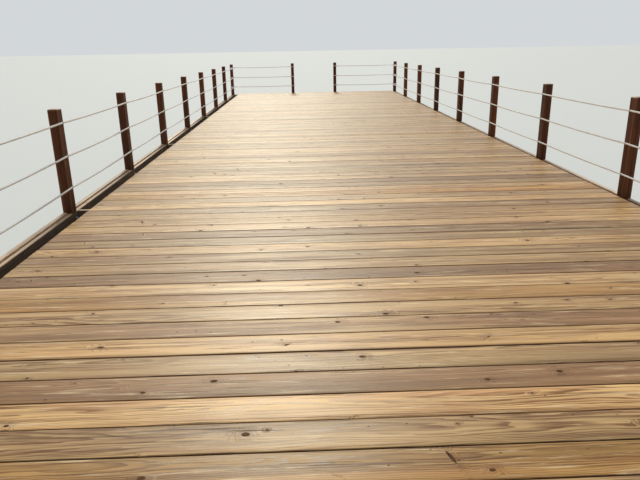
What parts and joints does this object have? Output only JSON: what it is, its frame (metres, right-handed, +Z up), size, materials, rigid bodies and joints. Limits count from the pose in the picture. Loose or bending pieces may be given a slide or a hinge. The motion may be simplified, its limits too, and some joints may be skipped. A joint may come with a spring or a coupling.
{
  "type": "wooden jetty",
  "caption": "Straight timber jetty on round piles, with a cross-laid plank deck between two-plank edge beams, square rail posts, rope rails on both sides and a gap in the rail at the sea end.",
  "frame": {"origin": "centre of the box around the jetty, on the plane of the pile feet", "axes": "+X to the right for someone walking out, +Y from the shore end to the sea end, +Z up"},
  "size_m": [6.01, 22.6406, 2.15],
  "materials": {
    "deck_boards": "weathered sawn softwood",
    "edge_timber": "weathered sawn softwood",
    "frame_timber": "sawn softwood",
    "pile_timber": "peeled round timber, dark at the foot",
    "post_timber": "dark brown stain",
    "rope": "laid three-strand rope",
    "fixings": "galvanised"
  },
  "bodies": {
    "root": {"piles_bent_1": "pile_timber", "piles_bent_2": "pile_timber", "piles_bent_3": "pile_timber", "piles_bent_4": "pile_timber", "piles_bent_5": "pile_timber", "piles_bent_6": "pile_timber", "crosshead_1": "frame_timber", "crosshead_2": "frame_timber", "crosshead_3": "frame_timber", "crosshead_4": "frame_timber", "crosshead_5": "frame_timber", "crosshead_6": "frame_timber", "joists_bay_1": "frame_timber", "joists_bay_2": "frame_timber", "joists_bay_3": "frame_timber", "joists_bay_4": "frame_timber", "joists_bay_5": "frame_timber", "blocking_bay_1": "frame_timber", "blocking_bay_2": "frame_timber", "blocking_bay_3": "frame_timber", "blocking_bay_4": "frame_timber", "blocking_bay_5": "frame_timber", "left_inner_edge_beam": "frame_timber", "right_inner_edge_beam": "frame_timber", "left_outer_edge_beam": "edge_timber", "right_outer_edge_beam": "edge_timber", "shore_end_beam": "frame_timber", "sea_end_inner_beam": "frame_timber", "sea_end_outer_beam": "edge_timber", "deck_boards_bay_1": "deck_boards", "deck_boards_bay_2": "deck_boards", "deck_boards_bay_3": "deck_boards", "deck_boards_bay_4": "deck_boards", "deck_boards_bay_5": "deck_boards", "left_rail_posts": "post_timber", "right_rail_posts": "post_timber", "end_rail_posts": "post_timber", "left_rope_bottom": "rope", "left_rope_middle": "rope", "left_rope_top": "rope", "right_rope_bottom": "rope", "right_rope_middle": "rope", "right_rope_top": "rope", "end_ropes_left": "rope", "end_ropes_right": "rope"}
  },
  "joints": []
}
